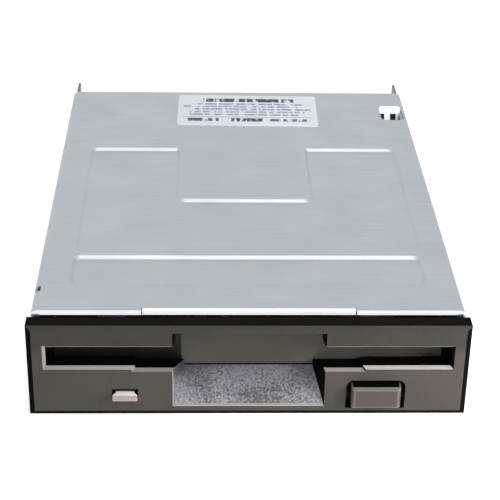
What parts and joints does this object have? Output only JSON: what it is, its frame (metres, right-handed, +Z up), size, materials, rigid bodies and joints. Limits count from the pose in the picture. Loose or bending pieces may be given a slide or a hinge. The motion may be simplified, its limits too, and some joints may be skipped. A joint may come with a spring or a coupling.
{
  "type": "floppy disk drive",
  "caption": "Slim slot-loading floppy disk drive with a pressed-steel body and a dark plastic bezel, with its loading, spindle and head mechanisms inside.",
  "frame": {"origin": "under the middle of the drive, on its base, with the bounding box centred left to right and front to rear", "axes": "+X to the right seen from the front, +Y to the rear, +Z up"},
  "size_m": [0.1016, 0.146, 0.0254],
  "materials": {
    "zinc_steel": "zinc plated, fine grain",
    "sheet_steel": "plated",
    "bright_steel": "bright",
    "bezel_plastic": "fine spark texture",
    "door_plastic": "satin",
    "button_plastic": "satin",
    "inner_plastic": "matte",
    "pale_plastic": "satin",
    "lamp_lens": "milky",
    "label_paper": "coated",
    "circuit_board": "solder mask",
    "bearing_brass": "plain",
    "stator_iron": "plain",
    "copper_wire": "enamelled",
    "head_ceramic": "ground",
    "film_cable": "film"
  },
  "bodies": {
    "drive": {"chassis": "zinc_steel", "top_cover": "zinc_steel", "cover_label": "label_paper", "cover_screws": "bright_steel", "front_bezel": "bezel_plastic", "door_spring": "bright_steel", "slider_springs": "bright_steel", "motor_board": "circuit_board", "motor_screws": "bright_steel", "spindle_bearing": "bearing_brass", "stator_core": "stator_iron", "stator_coils": "copper_wire", "guide_rods": "bright_steel", "rod_clamps": "inner_plastic", "stepper_bracket": "zinc_steel", "stepper_can": "sheet_steel", "stepper_coils": "copper_wire", "main_board": "circuit_board", "board_chips": "inner_plastic", "board_screws": "bright_steel", "signal_header": "inner_plastic", "signal_pins": "bearing_brass", "power_header": "pale_plastic", "power_pins": "bearing_brass", "head_cable": "film_cable", "front_board": "circuit_board", "activity_lamp": "lamp_lens", "lamp_holder": "inner_plastic", "media_switches": "inner_plastic"},
    "door": {"slot_door": "door_plastic"},
    "ejector": {"eject_button": "button_plastic", "eject_slider": "sheet_steel"},
    "holder": {"disk_holder": "sheet_steel", "holder_pins": "bright_steel", "lever_pivot": "bright_steel", "lever_spring": "bright_steel"},
    "lever": {"shutter_lever": "pale_plastic"},
    "spindle": {"spindle_shaft": "bright_steel", "spindle_rotor": "sheet_steel", "rotor_magnet": "stator_iron", "spindle_hub": "stator_iron", "drive_pin": "bright_steel"},
    "carriage": {"head_carriage": "inner_plastic", "screw_follower": "bright_steel", "lower_head": "head_ceramic", "arm_pin": "bright_steel"},
    "arm": {"head_arm": "inner_plastic", "arm_spring": "sheet_steel", "upper_head": "head_ceramic"},
    "screw": {"lead_screw": "bright_steel", "stepper_rotor": "stator_iron"},
    "protect_switch": {"protect_plunger": "pale_plastic"},
    "disk_in_switch": {"disk_in_plunger": "pale_plastic"}
  },
  "joints": [
    {"name": "door_swing", "type": "hinge", "parent": "drive", "child": "door", "pos_m": [0, -0.0653, 0.0203], "axis": [1, 0, 0], "range_deg": [0, 84], "stiffness_Nm_per_rad": 0.001, "springref_deg": -28.65, "deforming": ["door_spring"]},
    {"name": "eject_slide", "type": "slide", "parent": "drive", "child": "ejector", "axis": [0, -1, 0], "range_m": [0, 0.0055], "deforming": ["slider_springs"]},
    {"name": "holder_drop", "type": "slide", "parent": "drive", "child": "holder", "axis": [0, 0, -1], "range_m": [0, 0.0032]},
    {"name": "lever_swing", "type": "hinge", "parent": "holder", "child": "lever", "pos_m": [-0.036, 0.008, 0.019], "axis": [0, 0, 1], "range_deg": [0, 50], "stiffness_Nm_per_rad": 0.0005, "springref_deg": -28.65, "deforming": ["lever_spring"]},
    {"name": "spindle_turn", "type": "hinge", "parent": "drive", "child": "spindle", "pos_m": [0, -0.017, 0.008], "axis": [0, 0, 1], "continuous": true},
    {"name": "carriage_step", "type": "slide", "parent": "drive", "child": "carriage", "axis": [0, -1, 0], "range_m": [0, 0.0153], "deforming": ["head_cable"]},
    {"name": "arm_lower", "type": "hinge", "parent": "carriage", "child": "arm", "pos_m": [0, 0.0475, 0.0135], "axis": [1, 0, 0], "range_deg": [0, 12.9]},
    {"name": "screw_turn", "type": "hinge", "parent": "drive", "child": "screw", "pos_m": [0.0145, 0.04, 0.0089], "axis": [0, 1, 0], "range_deg": [0, 1840]},
    {"name": "protect_press", "type": "slide", "parent": "drive", "child": "protect_switch", "axis": [0, 0, -1], "range_m": [0, 0.0012], "stiffness_N_per_m": 20, "springref_m": -0.001},
    {"name": "disk_in_press", "type": "slide", "parent": "drive", "child": "disk_in_switch", "axis": [0, 0, -1], "range_m": [0, 0.0012], "stiffness_N_per_m": 20, "springref_m": -0.001}
  ],
  "couplings": [
    {"joint": "holder_drop", "follows": "eject_slide", "ratio": 0.58182},
    {"joint": "arm_lower", "follows": "eject_slide", "rad_per_m": 40.936},
    {"joint": "screw_turn", "follows": "carriage_step", "rad_per_m": 2094.4}
  ]
}
